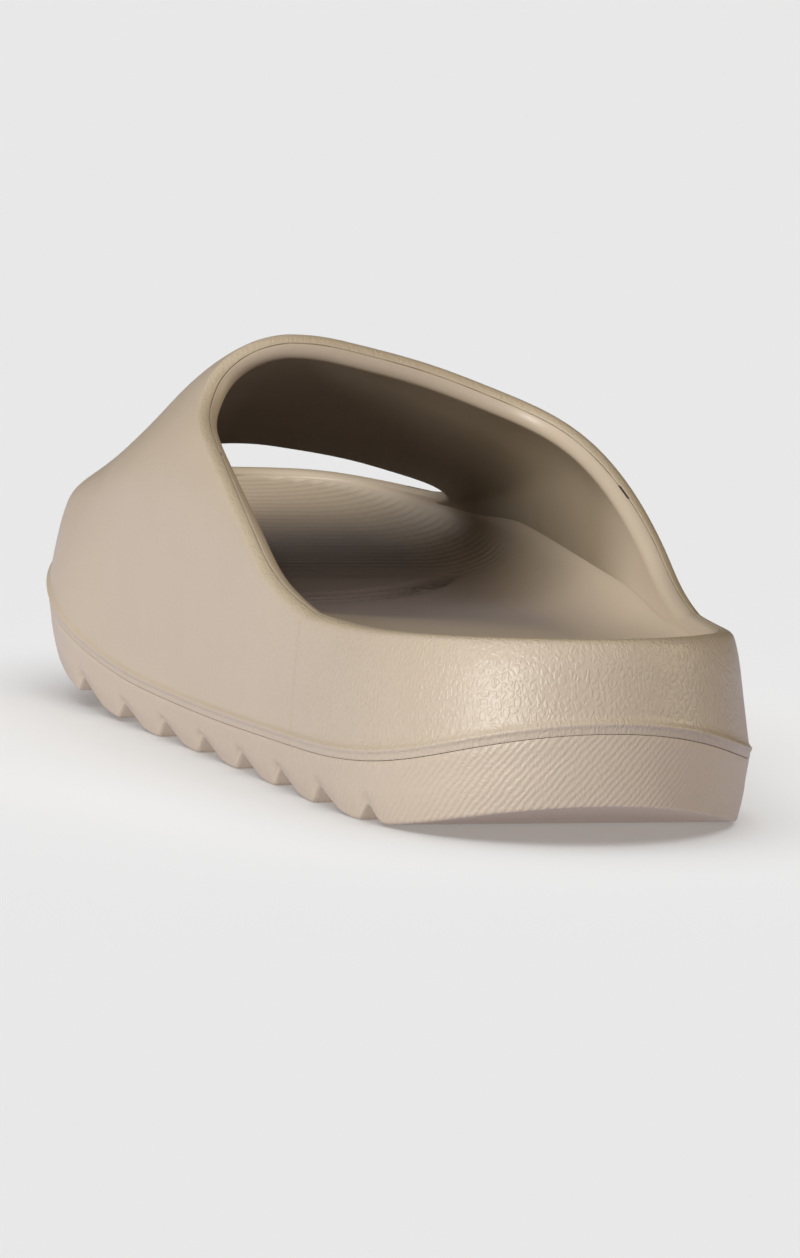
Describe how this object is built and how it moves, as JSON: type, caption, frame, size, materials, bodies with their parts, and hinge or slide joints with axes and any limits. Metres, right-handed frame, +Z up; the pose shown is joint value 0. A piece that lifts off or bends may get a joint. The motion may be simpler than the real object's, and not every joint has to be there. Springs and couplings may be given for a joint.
{
  "type": "sport slide sandal",
  "caption": "Open-toe moulded foam slide sandal with one wide closed strap, a deep rim round the foot, a dished insole and a sole with slanted steps along its side.",
  "frame": {"origin": "on the floor under the middle of the shoe", "axes": "+Z up, +Y towards the toe, +X towards the lateral side of the right foot"},
  "size_m": [0.106, 0.29, 0.0837],
  "materials": {
    "upper_foam": "satin moulded foam, fine leather-like grain on the walls",
    "sole_foam": "satin moulded foam, fine slanted ribs at the heel",
    "insole_foam": "matt moulded foam with fine cross ribs under the forefoot"
  },
  "bodies": {
    "root": {"upper": "upper_foam", "sole": "sole_foam", "insole": "insole_foam"}
  },
  "joints": []
}
